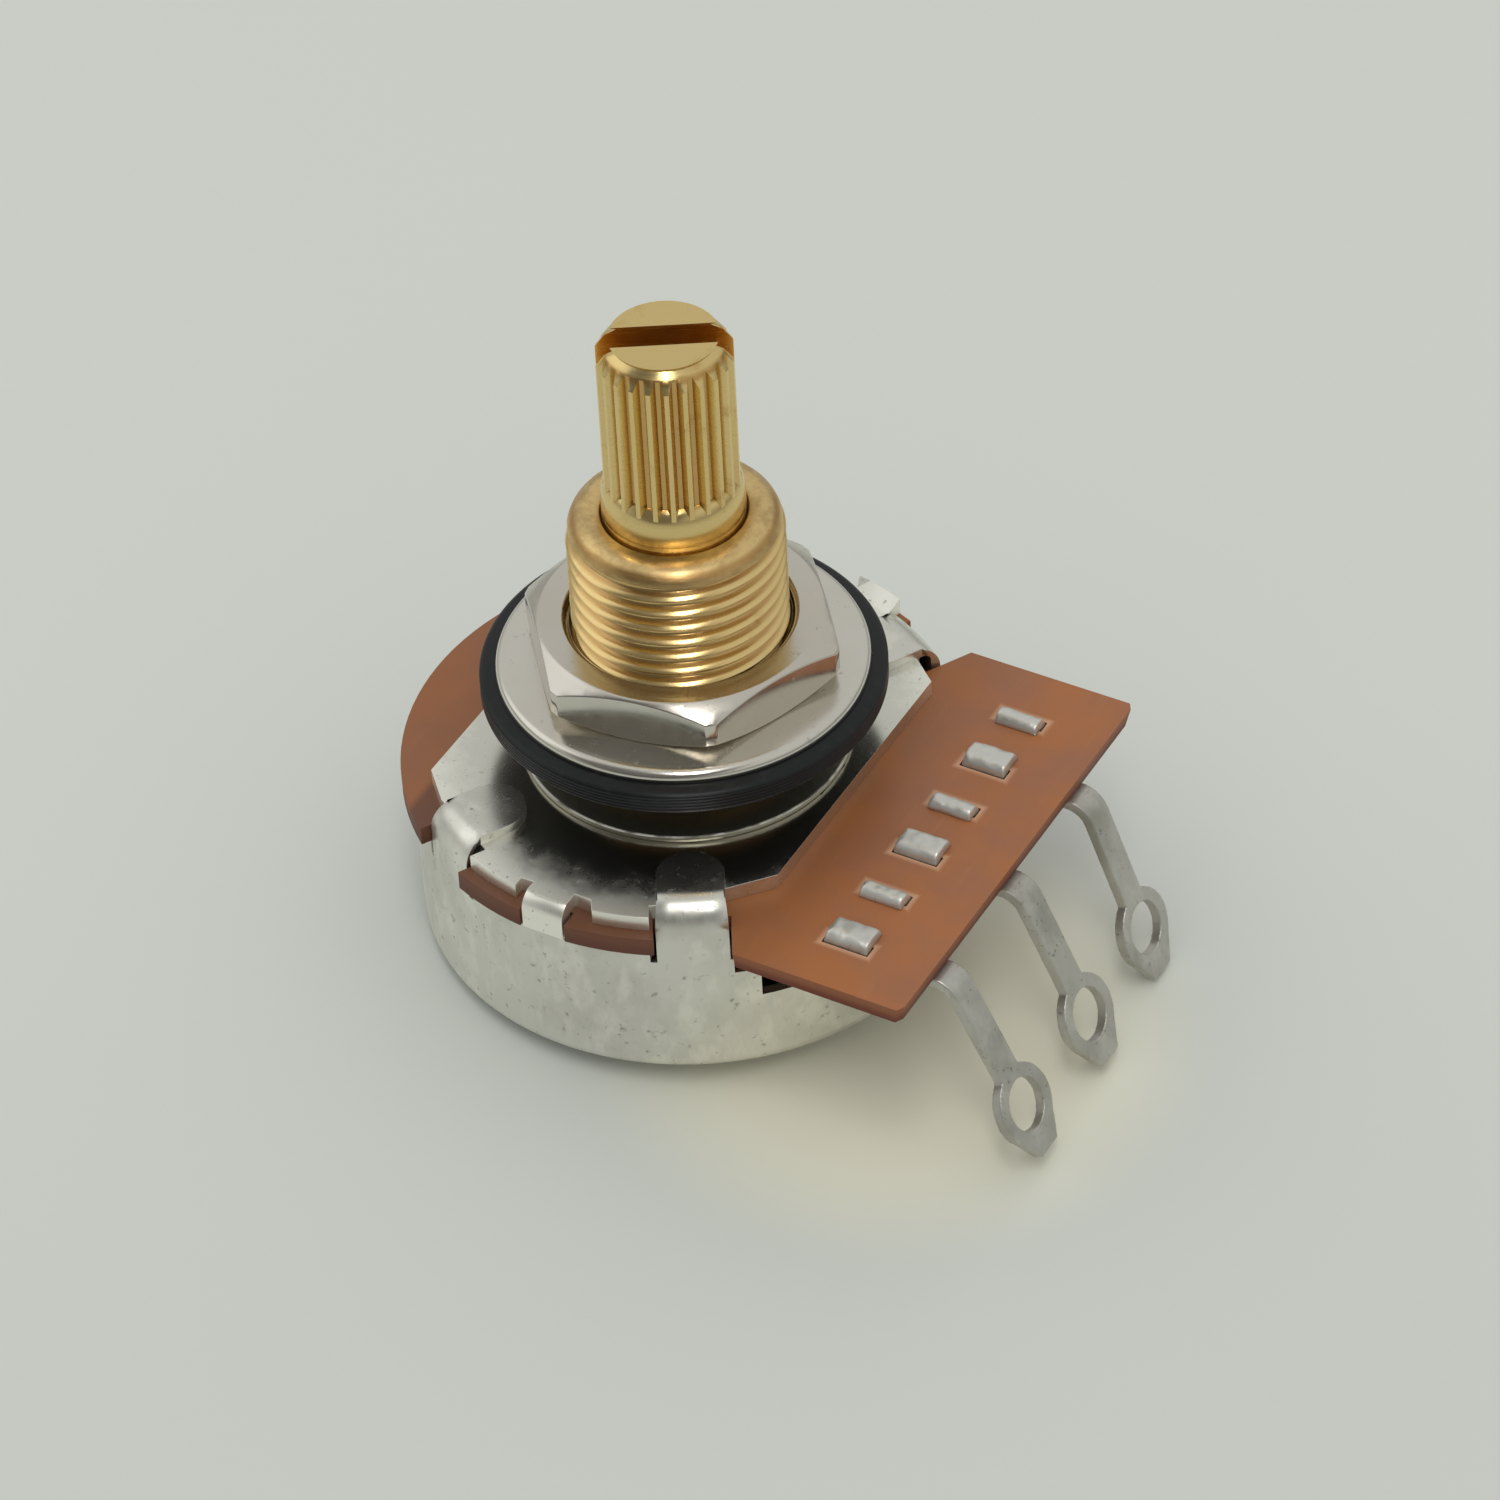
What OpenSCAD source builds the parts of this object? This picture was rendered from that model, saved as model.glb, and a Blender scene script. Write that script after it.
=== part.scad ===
// Rotary potentiometer, 24 mm can, split knurled shaft in a threaded bushing, three solder terminals.
// Origin at the centre of the can's back face, +Z along the shaft, +X towards the terminals.
// Millimetres. The shaft turns about Z; at the modelled angle the wiper is at mid travel, at -X.

/* [Can] */
// outer diameter of the can
can_d = 24.5; // [22:0.1:27]
// thickness of the can's sheet
can_t = 0.45; // [0.3:0.05:0.8]
// height of the wall where the board rests on it
can_h = 7.35; // [6:0.05:10]
// outer radius of the pressed edge at the back
can_round = 0.8; // [0.5:0.05:1.5]
// width of each folded tab
tab_w = 3.15; // [2:0.05:4.5]
// direction of the tabs from the X axis, in degrees
tab_angle = 60; // [50:1:70]
// distance of the rounded tab ends from the shaft axis
tab_reach = 8.4; // [8:0.1:9.5]
// height of the wall in front of the terminals
outlet_z = 4.15; // [3:0.05:5.5]
// half angle of the opening for the terminals, in degrees
outlet_half = 46.5; // [42:0.5:49]

/* [Front plate] */
// thickness of the front plate
plate_t = 0.75; // [0.6:0.05:1]
// distance between the long straight edges
plate_w = 16.95; // [15.5:0.05:19]
// outer diameter of the plate's two round edges
plate_d = 24.4; // [22:0.1:26]
// distance of the notched plate edge under the tabs from the axis
plate_notch_r = 11.3; // [10.5:0.05:11.8]
// width of the bent-down lugs at the round edges
lug_w = 2; // [1.4:0.1:3]
// distance of the stop lug's inner face from the axis
stop_lug_x = 5.05; // [5:0.05:5.4]
// width of the stop lug
stop_lug_w = 2; // [1.4:0.1:2.4]

/* [Bushing] */
// thread diameter, 3/8 inch
bush_d = 9.525; // [8:0.005:12]
// height of the threaded bushing above the front plate
bush_h = 12.7; // [8:0.05:20]
// neck that is swaged into the plate
bush_neck_d = 8.2; // [7.4:0.1:8.6]
// diameter of the swaged edge behind the plate
swage_d = 9.8; // [9:0.1:10]
// thickness of the swaged edge
swage_t = 0.45; // [0.3:0.05:0.6]

/* [Shaft] */
// diameter of the plain shaft
shaft_d = 6.25; // [5.5:0.05:6.5]
// radial running clearance of the shaft in the bushing
shaft_fit = 0.05; // [0.02:0.01:0.08]
// end of the shaft above the front plate
shaft_top = 22; // [16:0.1:40]
// diameter over the splines
knurl_d = 6; // [5.4:0.05:6.2]
// depth of the splines
knurl_depth = 0.34; // [0.15:0.01:0.45]
// length of the splined part
knurl_l = 7.9; // [5:0.1:9]
// number of splines
knurl_n = 24; // [18:1:40]
// width of the split
split_w = 1.35; // [0.8:0.05:1.6]
// depth of the split from the end of the shaft
split_l = 7.6; // [4:0.1:8.5]
// direction of the split at the modelled angle, in degrees
split_angle = 31; // [0:1:180]
// distance between the two drive flats at the rear
drive_flats = 4.4; // [4:0.05:4.8]
// diameter of the rear end of the shaft
drive_d = 5.7; // [5.4:0.05:6]

/* [Element board] */
// thickness of the board
board_t = 0.95; // [0.7:0.05:1.3]
// diameter of the round part
board_d = 25.5; // [24:0.1:27]
// width of the terminal end
tail_w = 22.1; // [20:0.1:24]
// distance of the terminal end's edge from the axis
tail_x = 16.45; // [15:0.05:19]
// radius of the hole in the middle
board_hole_r = 6; // [5.9:0.05:6.2]
// thickness of the printed layers
print_t = 0.1; // [0.06:0.01:0.15]
// inner radius of the resistive track
track_r0 = 8.6; // [8.4:0.05:8.8]
// outer radius of the resistive track
track_r1 = 10.2; // [9.8:0.05:10.3]
// half angle of the gap between the ends of the track, in degrees
track_gap = 27; // [22:0.5:32]
// inner radius of the collector ring
ring_r0 = 6.45; // [6.3:0.05:6.5]
// outer radius of the collector ring
ring_r1 = 7.45; // [7.2:0.05:7.6]

/* [Terminals] */
// distance between neighbouring terminals, 1/4 inch
term_pitch = 6.35; // [5:0.05:7]
// thickness of the terminals
term_t = 0.5; // [0.3:0.05:0.7]
// width of the legs
leg_w = 1.45; // [1:0.05:2]
// sideways offset of the legs from the clinched bases
leg_off = -0.4; // [-0.8:0.05:0.8]
// straight length from the bend to the eye
leg_l = 6.15; // [3:0.05:9]
// radius of the bend, middle of the sheet
leg_bend_r = 1.2; // [0.8:0.05:1.6]
// outer diameter of the eyes
eye_d = 3.65; // [3:0.05:5]
// diameter of the wire holes in the eyes
eye_hole_d = 2.4; // [1.5:0.05:2.8]

/* [Nut and washers] */
// distance across the flats of the nut, 1/2 inch
nut_af = 12.7; // [11:0.1:15]
// thickness of the nut
nut_t = 2.3; // [1.6:0.05:3]
// radial clearance between the thread crests and the bores of nut and washers
bore_gap = 0.1; // [0.06:0.01:0.14]
// diameter of the lock washer
lock_d = 14.7; // [13:0.05:16]
// thickness of the lock washer
lock_t = 0.3; // [0.2:0.05:0.8]
// room left for the panel between the lock washer and the rubber washer
panel_gap = 2.7; // [0.5:0.05:5]
// diameter of the rubber washer
rubber_d = 17.9; // [16:0.1:20]
// thickness of the rubber washer
rubber_t = 1.15; // [0.8:0.05:2]
// diameter of the dress washer
dress_d = 16.5; // [15:0.1:17.5]
// thickness of the dress washer
dress_t = 0.55; // [0.3:0.05:0.9]

/* [Hidden] */
$fn = 96;
can_r = can_d / 2;
can_in = can_r - can_t;               // inner radius of the can
bush_r = bush_d / 2;
shaft_r = shaft_d / 2;
bore_r = shaft_r + shaft_fit;
board_r = board_d / 2;
board_z = can_h;                      // underside of the board
plate_z = board_z + board_t;          // underside of the front plate
face_z = plate_z + plate_t;           // mounting face of the front plate
swage_z = plate_z - swage_t;          // rear end of the bushing
print_z = board_z - print_t;          // exposed face of the printed layers
bush_top = face_z + bush_h;
shaft_end = face_z + shaft_top;
knurl_z = shaft_end - knurl_l;
knurl_r = knurl_d / 2;
knurl_root = knurl_r - knurl_depth;
tab_bend = 0.8;                       // outer radius of the folded tabs
tab_half = asin(tab_w / can_d);       // half angle of a tab
tab_free = 0.1;                       // gap between a tab and the notches it passes
relief_z = can_h - 0.85;              // bottom of the relief cuts beside the tabs
plate_r = plate_d / 2;
plate_x0 = -0.4 - plate_w / 2;        // the plate sits a little towards -X
plate_x1 = -0.4 + plate_w / 2;
lug_x = -0.15;                        // middle of the bent-down lugs
lug_y = plate_r - 0.3;                // inner face of the bent-down lugs
tail_h = tail_w / 2;
lock_z = face_z + lock_t;
rubber_z = lock_z + panel_gap;
dress_z = rubber_z + rubber_t;
nut_z = dress_z + dress_t;
washer_r = bush_r + bore_gap;
thrust_t = 0.2;
wave_t = 0.2;
wave_z = swage_z - thrust_t - 0.4;    // rear edge of the spring washer
clip_t = 0.4;
clip_z = wave_z - 0.02 - clip_t;      // rear face of the retaining ring
groove_r = 2.55;
arm_t = 0.65;
arm_z = clip_z - 0.12 - arm_t;
arm_r = board_hole_r - 0.3;           // tip of the stop arm
arm_half = 18;
rotor_t = 1.4;
rotor_z = arm_z - 0.3 - rotor_t;
rotor_r = can_in - 0.9;               // rim of the rotor, clear of the wall
wiper_t = 0.2;
wiper_z = rotor_z + rotor_t;
wiper_gap = 0.02;
wiper_a = 210;                        // direction of the wiper's riveted base
rivet_r = [rotor_r - 3.55, rotor_r - 1.55];
wash_r = swage_d / 2 - 0.1;           // thin washer behind the bushing
track_r = (track_r0 + track_r1) / 2;
ring_r = (ring_r0 + ring_r1) / 2;
stake_z = rotor_z - 0.5;              // rear end of the shaft
floor_gap = 0.15;
term_y = -0.2;                        // middle of the terminal row
slot_out = 2.1;                       // outer side of the clinch slots from a terminal's middle
slot_in = 1.45;
slot_x0 = 11.35;
slot_x1 = 13.55;
base_z = print_z - term_t;            // underside of the terminal bases
bend_x = 16.1;                        // start of the bends

// flat piece: a disc with a round hole
module washer(r, hole, t) {
    difference() {
        cylinder(r = r, h = t);
        translate([0, 0, -1]) cylinder(r = hole, h = t + 2);
    }
}

// solid between two heights inside the sector from angle a to angle b
module sector(r, a, b, z0, z1) {
    translate([0, 0, z0]) rotate([0, 0, a])
        rotate_extrude(angle = b - a) square([r, z1 - z0]);
}

// ring between two radii and two heights, from angle a to angle b
module arc_bar(r0, r1, a, b, z0, z1) {
    rotate([0, 0, a]) rotate_extrude(angle = b - a)
        translate([r0, z0]) square([r1 - r0, z1 - z0]);
}

// mirrors its children to the -Y side when s is negative
module side(s) {
    if (s > 0) children();
    else mirror([0, 1, 0]) children();
}

// pressed can: cup with a rounded back edge, terminal opening, four tabs folded over the plate
module case() color([0.72, 0.72, 0.68]) {
    h = face_z + can_t;
    bend_r = can_r - tab_bend;
    flat_w = bend_r * sin(tab_half);
    difference() {
        rotate_extrude() {
            // floor, rounded back edge and wall
            difference() {
                union() {
                    translate([0, can_round]) square([can_r, h - tab_bend - can_round]);
                    square([can_r - can_round, can_round]);
                    translate([can_r - can_round, can_round]) circle(r = can_round, $fn = 48);
                }
                translate([0, can_t]) square([can_r - can_round, h]);
                translate([0, can_round]) square([can_in, h]);
                translate([can_r - can_round, can_round]) circle(r = can_round - can_t, $fn = 48);
                translate([-2 * can_r, -1]) square([2 * can_r, h + 2]);
            }
            // bend of the tabs and the start of their flats
            translate([bend_r, h - tab_bend]) intersection() {
                difference() {
                    circle(r = tab_bend, $fn = 48);
                    circle(r = tab_bend - can_t, $fn = 48);
                }
                square(tab_bend + 1);
            }
            translate([bend_r - 0.6, face_z]) square([0.6, can_t]);
        }
        // opening in front of the terminals, the lower wall beside it, the gaps between the tabs
        sector(can_r + 1, -outlet_half, outlet_half, outlet_z, h + 1);
        sector(can_r + 1, tab_half + 0.7 - tab_angle, tab_angle - tab_half - 0.7, can_h - 1.65, h + 1);
        for (g = [[tab_angle, 180 - tab_angle], [180 - tab_angle, 180 + tab_angle],
                [180 + tab_angle, 360 - tab_angle]])
            sector(can_r + 1, g[0] + tab_half + 0.7, g[1] - tab_half - 0.7, can_h, h + 1);
        // relief cuts at the roots of the tabs
        for (a = [tab_angle, 180 - tab_angle], s = [-1, 1], k = [-tab_half - 1.4, tab_half])
            sector(can_r + 1, s * a + k, s * a + k + 1.4, relief_z, h + 1);
    }
    // flats of the tabs with round ends
    for (a = [tab_angle, 180 - tab_angle], s = [-1, 1]) rotate([0, 0, s * a])
        translate([0, 0, face_z]) linear_extrude(can_t) {
            translate([tab_reach + flat_w, -flat_w]) square([bend_r - 0.15 - tab_reach - flat_w, 2 * flat_w]);
            translate([tab_reach + flat_w, 0]) circle(r = flat_w, $fn = 64);
        }
}

// outline of the stamped plate: round edges at +-Y, straight edges at +-X, notches for the tabs
module plate_outline() {
    difference() {
        intersection() {
            circle(r = plate_r, $fn = 144);
            translate([plate_x0, -plate_r - 1]) square([plate_w, plate_d + 2]);
        }
        // tab notches, running out over the corners
        for (a = [tab_angle, 180 - tab_angle], s = [-1, 1], k = [a < 90 ? -s : s]) rotate(s * a) {
            translate([plate_notch_r, -tab_w / 2 - tab_free - 0.15]) square([4, tab_w + 2 * tab_free + 0.3]);
            translate([plate_notch_r, k > 0 ? 0 : -8]) square([4, 8]);
        }
        // corners cut off, the one at the near side of the terminals more than the others
        polygon([[plate_x1 + 1, -5.4], [6.1, -8.7], [7, -11], [plate_x1 + 3, -11]]);
        polygon([[plate_x0 - 1, -6.2], [-7.1, -9.1], [-8, -11], [plate_x0 - 3, -11]]);
        for (x = [plate_x0, plate_x1]) translate([x, 8.5]) rotate(x < 0 ? 40 : -40)
            square([3, 1.2], center = true);
        // relief cuts on both sides of the bent lugs
        for (s = [-1, 1]) side(s) {
            translate([lug_x - lug_w / 2 - 0.6, plate_r - 0.65]) square([0.6, 1.4]);
            translate([lug_x + lug_w / 2, plate_r - 0.75])
                polygon([[0, 0], [0.8, 0], [1.3, 0.8], [1.3, 1.4], [0, 1.4]]);
        }
    }
}

// front plate: stamped sheet with two bent-down locating lugs and the stop lug of the shaft
module front_plate() color([0.78, 0.78, 0.75]) {
    difference() {
        translate([0, 0, plate_z]) linear_extrude(plate_t) plate_outline();
        translate([0, 0, plate_z - 1]) cylinder(d = bush_neck_d, h = plate_t + 2);
        // window left by the stop lug
        translate([stop_lug_x + plate_t, -stop_lug_w / 2 - 0.1, plate_z - 1])
            cube([1.5, stop_lug_w + 0.2, plate_t + 2]);
    }
    // stop lug, bent down beside the swaged bushing
    translate([stop_lug_x, -stop_lug_w / 2, arm_z + 0.05])
        cube([plate_t, stop_lug_w, plate_z - arm_z + 0.2]);
    // locating lugs, bent down into the board's notched edge
    for (s = [-1, 1]) side(s) translate([lug_x - lug_w / 2, 0, 0]) rotate([90, 0, 90])
        linear_extrude(lug_w) {
            translate([lug_y, plate_z]) intersection() {
                circle(r = plate_t, $fn = 48);
                square(plate_t);
            }
            translate([lug_y, board_z]) square([plate_t, board_t]);
            translate([lug_y - 0.4, plate_z]) square([0.4, plate_t]);
        }
}

// bushing: threaded barrel, neck through the plate, swaged edge behind it, running bore
module bushing() color([0.80, 0.62, 0.30]) {
    rotate_extrude() difference() {
        polygon([[0, swage_z], [swage_d / 2 - 0.25, swage_z], [swage_d / 2, swage_z + 0.25],
            [swage_d / 2, plate_z], [bush_neck_d / 2, plate_z], [bush_neck_d / 2, face_z],
            [bush_r - 0.3, face_z], [bush_r - 0.3, face_z + 0.3], [bush_r, face_z + 0.6],
            [bush_r, bush_top - 1], [bush_r - 0.42, bush_top - 0.28], [bush_r - 0.92, bush_top],
            [0, bush_top]]);
        polygon([[-1, swage_z - 1], [bore_r, swage_z - 1], [bore_r, bush_top - 0.5],
            [bore_r + 0.3, bush_top], [bore_r + 0.3, bush_top + 1], [-1, bush_top + 1]]);
    }
}

// cross-section of the splined end
module knurl_section() {
    s = 360 / knurl_n;
    polygon([for (i = [0 : knurl_n - 1], k = [[-0.36, knurl_root], [-0.13, knurl_r], [0.13, knurl_r],
            [0.36, knurl_root]])
        let (a = (i + k[0]) * s, r = k[1]) [r * cos(a), r * sin(a)]]);
}

// cross-section with two flats that drives the stop arm and the rotor
module drive_section(gap = 0) {
    intersection() {
        circle(d = drive_d + 2 * gap);
        square([drive_d + 2, drive_flats + 2 * gap], center = true);
    }
}

// shaft: split splined end, collar, plain bearing length, groove, drive flats, staked rear end
module shaft() color([0.83, 0.66, 0.32]) {
    difference() {
        union() {
            // splined end with its chamfer
            rotate([0, 0, split_angle]) intersection() {
                translate([0, 0, knurl_z - 0.5]) linear_extrude(knurl_l + 0.5) knurl_section();
                rotate_extrude() polygon([[0, knurl_z - 1], [knurl_r + 0.1, knurl_z - 1],
                    [knurl_r + 0.1, shaft_end - 1.05], [knurl_r - 0.4, shaft_end - 0.35],
                    [knurl_r - 1.05, shaft_end], [0, shaft_end]]);
            }
            // root of the splines, collar, plain length and groove
            rotate_extrude() polygon([[0, clip_z], [groove_r, clip_z], [groove_r, clip_z + clip_t + 0.05],
                [shaft_r, clip_z + clip_t + 0.05], [shaft_r, knurl_z - 0.45], [knurl_root, knurl_z + 0.15],
                [0, knurl_z + 0.15]]);
        }
        rotate([0, 0, split_angle]) translate([-shaft_d, -split_w / 2, shaft_end - split_l])
            cube([2 * shaft_d, split_w, split_l + 1]);
    }
    translate([0, 0, rotor_z]) linear_extrude(clip_z - rotor_z) drive_section();
    // end staked over the rotor's web
    translate([0, 0, stake_z]) cylinder(r1 = 2.7, r2 = 3.1, h = rotor_z - stake_z);
}

// thin flat washer behind the bushing
module thrust_washer() color([0.70, 0.70, 0.68])
    translate([0, 0, swage_z - thrust_t]) washer(wash_r, shaft_r + 0.15, thrust_t);

// spring washer that keeps the shaft drawn in and gives it its drag
module wave_washer() color([0.62, 0.60, 0.55]) {
    z1 = swage_z - thrust_t;
    rotate_extrude() polygon([[shaft_r + 0.2, wave_z], [wash_r - 0.05, z1 - wave_t],
        [wash_r - 0.05, z1], [wash_r - 0.3, z1], [shaft_r + 0.2, wave_z + wave_t]]);
}

// retaining ring in the shaft's groove, open on one side
module retaining_ring() color([0.35, 0.35, 0.36])
    translate([0, 0, clip_z]) linear_extrude(clip_t) difference() {
        circle(r = wash_r - 0.3);
        circle(r = groove_r);
        translate([0, -1.9]) square([6, 3.8]);
    }

// stop arm on the drive flats; its sides meet the stop lug at the ends of the travel
module stop_arm() color([0.66, 0.66, 0.64])
    translate([0, 0, arm_z]) linear_extrude(arm_t) difference() {
        union() {
            circle(r = drive_d / 2 + 1.35);
            intersection() {
                circle(r = arm_r);
                polygon([[0, 0], [-9 * cos(arm_half), 9 * sin(arm_half)], [-9, 0],
                    [-9 * cos(arm_half), -9 * sin(arm_half)]]);
            }
        }
        drive_section();
    }

// rotor: moulded disc with a keyed web, a boss that rides on the can's floor, and a rim
module rotor() color([0.30, 0.17, 0.10])
    difference() {
        union() {
            translate([0, 0, rotor_z]) cylinder(r = rotor_r, h = rotor_t);
            translate([0, 0, rotor_z]) cylinder(r = 4, h = arm_z - rotor_z);
            translate([0, 0, can_t + floor_gap]) cylinder(r = 4.2, h = rotor_z - can_t);
        }
        translate([0, 0, rotor_z - 1]) linear_extrude(rotor_t + 2) drive_section();
        translate([0, 0, can_t - 1]) cylinder(r = 3.5, h = rotor_z - can_t + 1);
        // lightening pocket under the disc, left full under the wiper's base
        arc_bar(5.2, rotor_r - 1, wiper_a + 20, wiper_a + 340, rotor_z - 1, rotor_z + 0.6);
        for (r = rivet_r) rotate([0, 0, wiper_a]) translate([r, 0, rotor_z - 1])
            cylinder(d = 0.8, h = rotor_t + 2, $fn = 32);
    }

// side profile of one spring finger: foot, rising arm and rounded contact
module finger(l, rise) {
    polygon([[0, 0], [0.8, 0], [l - 0.7, rise - wiper_t - 0.22], [l - 0.25, rise - wiper_t],
        [l + 0.25, rise - wiper_t], [l + 0.75, rise - wiper_t - 0.35], [l + 0.85, rise - 0.33],
        [l + 0.3, rise], [l - 0.3, rise], [l - 0.75, rise - 0.2], [0.75, wiper_t], [0, wiper_t]]);
}

// wiper: sprung contact riveted to the rotor, one pair of fingers on the ring and one on the track
module wiper() color([0.80, 0.58, 0.36]) {
    difference() {
        arc_bar(rotor_r - 4.5, rotor_r - 0.6, wiper_a - 12, wiper_a + 12, wiper_z, wiper_z + wiper_t);
        for (r = rivet_r) rotate([0, 0, wiper_a]) translate([r, 0, wiper_z - 1])
            cylinder(d = 0.8, h = 2, $fn = 32);
    }
    for (f = [[ring_r, 3.2], [track_r, 4]], x = [-0.42, 0.06])
        translate([x - f[0], -f[1], wiper_z]) rotate([90, 0, 90]) linear_extrude(0.36)
            finger(f[1], print_z - wiper_gap - wiper_z);
}

// one of the two rivets that hold the wiper
module wiper_rivet(r) color([0.75, 0.60, 0.35]) rotate([0, 0, wiper_a]) translate([r, 0, 0]) {
    translate([0, 0, rotor_z]) cylinder(d = 0.8, h = rotor_t + wiper_t, $fn = 32);
    translate([0, 0, wiper_z + wiper_t]) cylinder(r1 = 0.62, r2 = 0.4, h = 0.22, $fn = 32);
    translate([0, 0, rotor_z - 0.25]) cylinder(r1 = 0.45, r2 = 0.65, h = 0.25, $fn = 32);
}
module wiper_rivet_1() { wiper_rivet(rivet_r[0]); }
module wiper_rivet_2() { wiper_rivet(rivet_r[1]); }

// board: round part, wider terminal end, tab notches, lug notches, clinch slots
module board_outline() {
    difference() {
        union() {
            circle(r = board_r, $fn = 144);
            polygon([[6.9, -10.2], [8.25, -tail_h], [tail_x - 0.55, -tail_h], [tail_x, -tail_h + 1],
                [tail_x, tail_h - 1], [tail_x - 0.55, tail_h], [8.25, tail_h], [6.9, 10.2]]);
        }
        circle(r = board_hole_r);
        for (a = [tab_angle, 180 - tab_angle], s = [-1, 1]) rotate(s * a)
            translate([plate_notch_r, -tab_w / 2 - tab_free]) square([4, tab_w + 2 * tab_free]);
        for (s = [-1, 1]) side(s) translate([lug_x - lug_w / 2 - tab_free, lug_y - tab_free])
            square([lug_w + 2 * tab_free, 2]);
        for (i = [-1, 0, 1], s = [-1, 1])
            translate([slot_x0, term_y + i * term_pitch + (s > 0 ? slot_in : -slot_out)])
                square([slot_x1 - slot_x0, slot_out - slot_in]);
    }
}

module element_board() color([0.62, 0.36, 0.22])
    translate([0, 0, board_z]) linear_extrude(board_t) board_outline();

// printed carbon track on the underside of the board
module resistive_track() color([0.10, 0.10, 0.10])
    arc_bar(track_r0, track_r1, track_gap, 360 - track_gap, print_z, board_z);

// printed collector ring with the strip to the middle terminal
module collector_ring() color([0.70, 0.70, 0.70])
    translate([0, 0, print_z]) linear_extrude(print_t) difference() {
        union() {
            circle(r = ring_r1);
            translate([0, -0.9]) square([slot_x0, 1.8]);
            translate([slot_x0 - 0.6, term_y - slot_in + 0.05])
                square([slot_x1 - slot_x0 + 0.8, 2 * slot_in - 0.1]);
        }
        circle(r = ring_r0);
    }

// printed silver end of the track, reaching under an outer terminal
module end_pad(s) color([0.74, 0.74, 0.74]) translate([0, 0, print_z]) linear_extrude(print_t) {
    a = track_gap - 8;
    r = track_r1 + 0.3;
    side(s) {
        intersection() {
            difference() {
                circle(r = r);
                circle(r = track_r0 - 0.1);
            }
            polygon([[0, 0], [14 * cos(a), 14 * sin(a)], [14 * cos(track_gap), 14 * sin(track_gap)]]);
        }
        // neck from the sector to the terminal's pad
        polygon([[(r - 0.5) * cos(track_gap - 0.5), (r - 0.5) * sin(track_gap - 0.5)],
            [(r - 0.5) * cos(a + 1), (r - 0.5) * sin(a + 1)], [slot_x0, term_pitch - 1.2],
            [slot_x0, term_pitch]]);
    }
    translate([slot_x0 - 0.4, s * term_pitch + term_y - slot_in + 0.05])
        square([slot_x1 - slot_x0 + 0.6, 2 * slot_in - 0.1]);
}
module end_pad_1() { end_pad(1); }
module end_pad_2() { end_pad(-1); }

// side profile of a clinch tab lying on the board: rounded bend, flat, rounded tip
module clinch(l) {
    for (y = [term_t, l - term_t]) translate([y, 0]) intersection() {
        circle(r = term_t, $fn = 48);
        translate([-term_t, 0]) square([2 * term_t, term_t]);
    }
    translate([term_t, 0]) square([max(0.01, l - 2 * term_t), term_t]);
}

// terminal: clinched base under the board, bent leg, eye with a blunt tip
module terminal(i, angle) color([0.66, 0.65, 0.60]) translate([0, term_y + i * term_pitch, 0]) {
    hw = slot_out - 0.05;
    mid_z = base_z + term_t / 2;
    // base and the start of the leg
    translate([0, 0, base_z]) linear_extrude(term_t) {
        translate([slot_x0 - 0.4, -hw]) square([slot_x1 - slot_x0 + 0.8, 2 * hw]);
        translate([slot_x1, leg_off - leg_w / 2]) square([bend_x - slot_x1, leg_w]);
    }
    // clinch tabs through the slots, folded towards each other on the board
    for (s = [-1, 1]) side(s) translate([slot_x0 + 0.05, 0, 0]) {
        translate([0, hw - term_t, base_z]) cube([slot_x1 - slot_x0 - 0.1, term_t, plate_z - base_z]);
        translate([slot_x1 - slot_x0 - 0.1, hw, plate_z]) rotate([90, 0, -90])
            linear_extrude(slot_x1 - slot_x0 - 0.1) clinch(s > 0 ? 1.01 : 1.5);
    }
    // bend
    translate([bend_x, leg_off + leg_w / 2, mid_z - leg_bend_r]) rotate([90, 0, 0])
        rotate([0, 0, 90 - angle]) rotate_extrude(angle = angle)
            translate([leg_bend_r - term_t / 2, 0]) square([term_t, leg_w]);
    // leg and eye
    translate([bend_x, leg_off, mid_z - leg_bend_r]) rotate([0, angle, 0])
        translate([0, 0, leg_bend_r - term_t / 2]) linear_extrude(term_t) difference() {
            union() {
                translate([0, -leg_w / 2]) square([leg_l - 1, leg_w]);
                translate([leg_l, 0]) circle(d = eye_d, $fn = 72);
                polygon([[leg_l + 0.6, -eye_d / 2 + 0.1], [leg_l + 2.4, -0.7], [leg_l + 2.4, 0.7],
                    [leg_l + 0.6, eye_d / 2 - 0.1]]);
            }
            translate([leg_l, 0]) circle(d = eye_hole_d, $fn = 72);
        }
}

module terminal_1() { terminal(1, 69); }
module terminal_2() { terminal(0, 64.5); }
module terminal_3() { terminal(-1, 62.5); }

// thin washer on the front plate, under the panel
module lock_washer() color([0.76, 0.76, 0.74])
    translate([0, 0, face_z]) washer(lock_d / 2, washer_r, lock_t);

// rubber washer with softened edges and two fine grooves in its rim
module rubber_washer() color([0.16, 0.17, 0.17]) {
    r = rubber_d / 2;
    t = rubber_t;
    translate([0, 0, rubber_z]) rotate_extrude() polygon([[washer_r, 0], [r - 0.25, 0],
        [r - 0.06, 0.12], [r, 0.3], [r, t * 0.42], [r - 0.07, t * 0.48], [r, t * 0.54],
        [r - 0.02, t - 0.28], [r - 0.12, t - 0.1], [r - 0.3, t], [washer_r, t]]);
}

// polished dress washer
module dress_washer() color([0.80, 0.79, 0.77])
    translate([0, 0, dress_z]) rotate_extrude() polygon([[washer_r, 0], [dress_d / 2, 0],
        [dress_d / 2, dress_t - 0.15], [dress_d / 2 - 0.15, dress_t], [washer_r, dress_t]]);

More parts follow.
